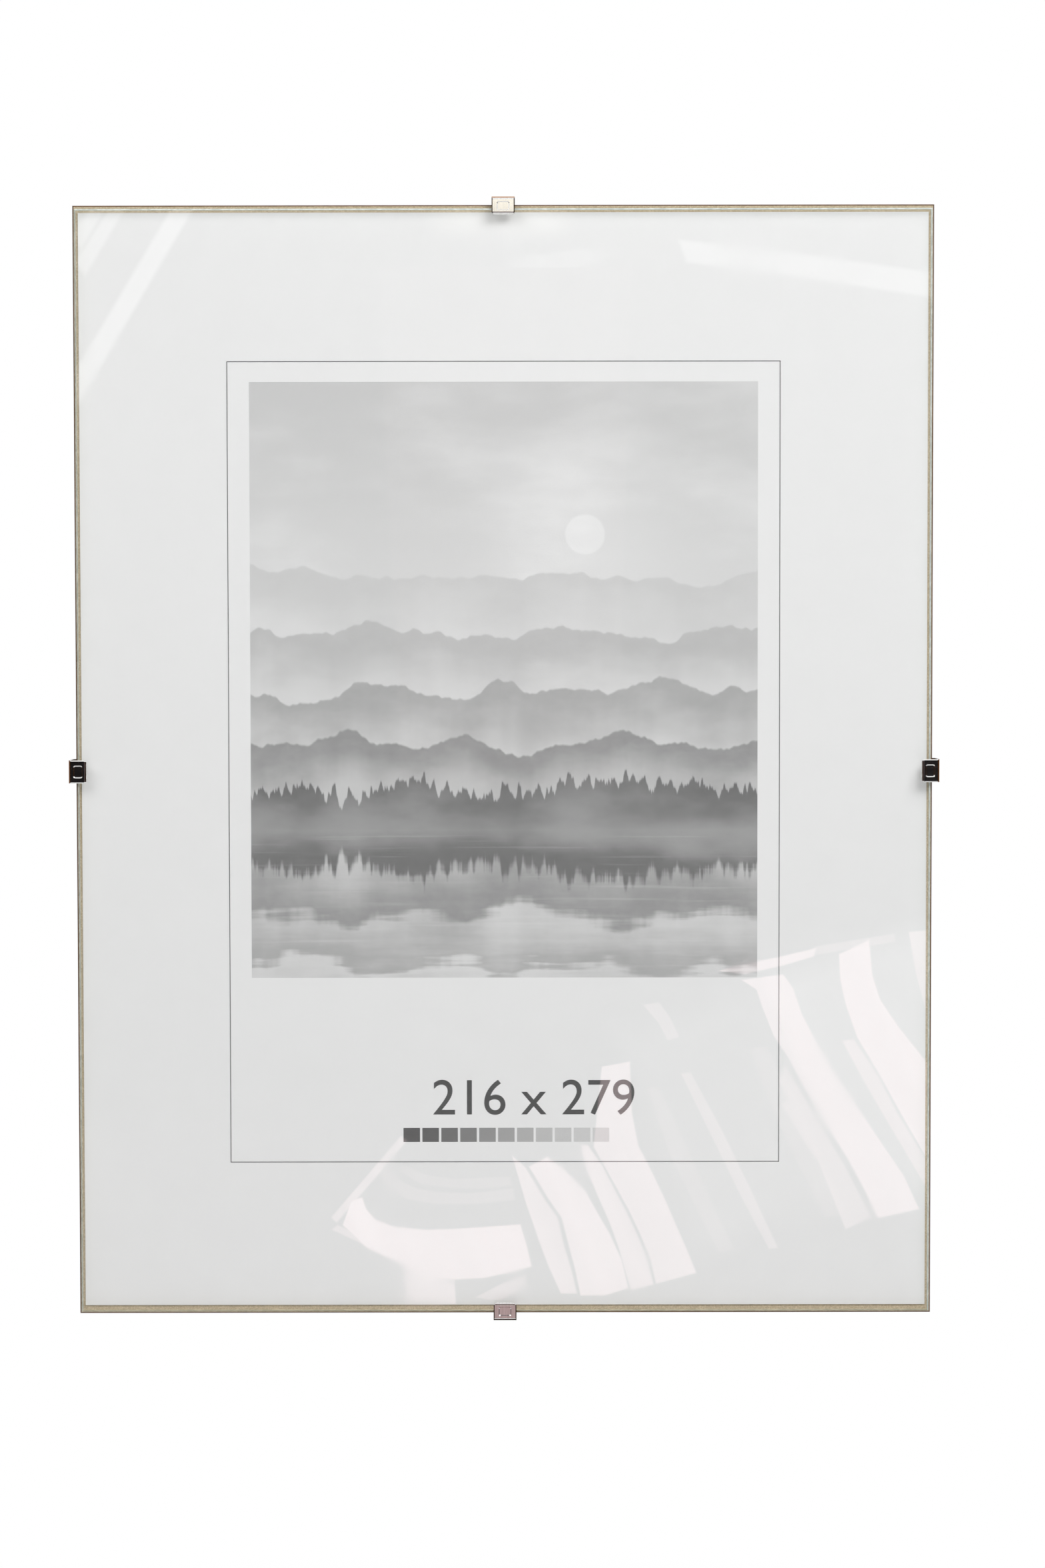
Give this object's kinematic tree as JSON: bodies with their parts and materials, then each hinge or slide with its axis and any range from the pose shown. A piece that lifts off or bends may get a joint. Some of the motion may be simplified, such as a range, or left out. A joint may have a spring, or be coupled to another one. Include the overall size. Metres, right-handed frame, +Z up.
{
  "type": "clip frame",
  "caption": "Frameless clip frame: a glass pane, printed insert and hardboard back held by sprung steel clips whose rear arms carry hanging eyes.",
  "frame": {"origin": "middle of the hanging eye in the top clip, half way through the strip", "axes": "+Z up as the frame hangs, +Y to the wall behind, the glass faces -Y, +X to the viewer's right"},
  "size_m": [0.2204, 0.0094, 0.2845],
  "materials": {
    "clear_glass": "polished",
    "insert_paper": "matt printed",
    "hardboard": "pressed fibre",
    "spring_steel": "bright nickel over brushed strip"
  },
  "bodies": {
    "stack": {"glass_pane": "clear_glass", "insert_sheet": "insert_paper", "backing_board": "hardboard"},
    "top_clip": {"clip_top": "spring_steel"},
    "right_clip": {"clip_right": "spring_steel"},
    "bottom_clip": {"clip_bottom": "spring_steel"},
    "left_clip": {"clip_left": "spring_steel"}
  },
  "joints": [
    {"name": "top_clip_release", "type": "hinge", "parent": "stack", "child": "top_clip", "pos_m": [0, -0.00845, 0.00585], "axis": [1, 0, 0], "range_deg": [0, 30], "stiffness_Nm_per_rad": 0.004, "springref_deg": -28.65},
    {"name": "right_clip_release", "type": "hinge", "parent": "stack", "child": "right_clip", "pos_m": [0.1058, -0.00845, -0.13425], "axis": [0, 0, -1], "range_deg": [0, 30], "stiffness_Nm_per_rad": 0.004, "springref_deg": -28.65},
    {"name": "bottom_clip_release", "type": "hinge", "parent": "stack", "child": "bottom_clip", "pos_m": [0, -0.00845, -0.26995], "axis": [-1, 0, 0], "range_deg": [0, 30], "stiffness_Nm_per_rad": 0.004, "springref_deg": -28.65},
    {"name": "left_clip_release", "type": "hinge", "parent": "stack", "child": "left_clip", "pos_m": [-0.1058, -0.00845, -0.13425], "axis": [0, 0, 1], "range_deg": [0, 30], "stiffness_Nm_per_rad": 0.004, "springref_deg": -28.65}
  ]
}
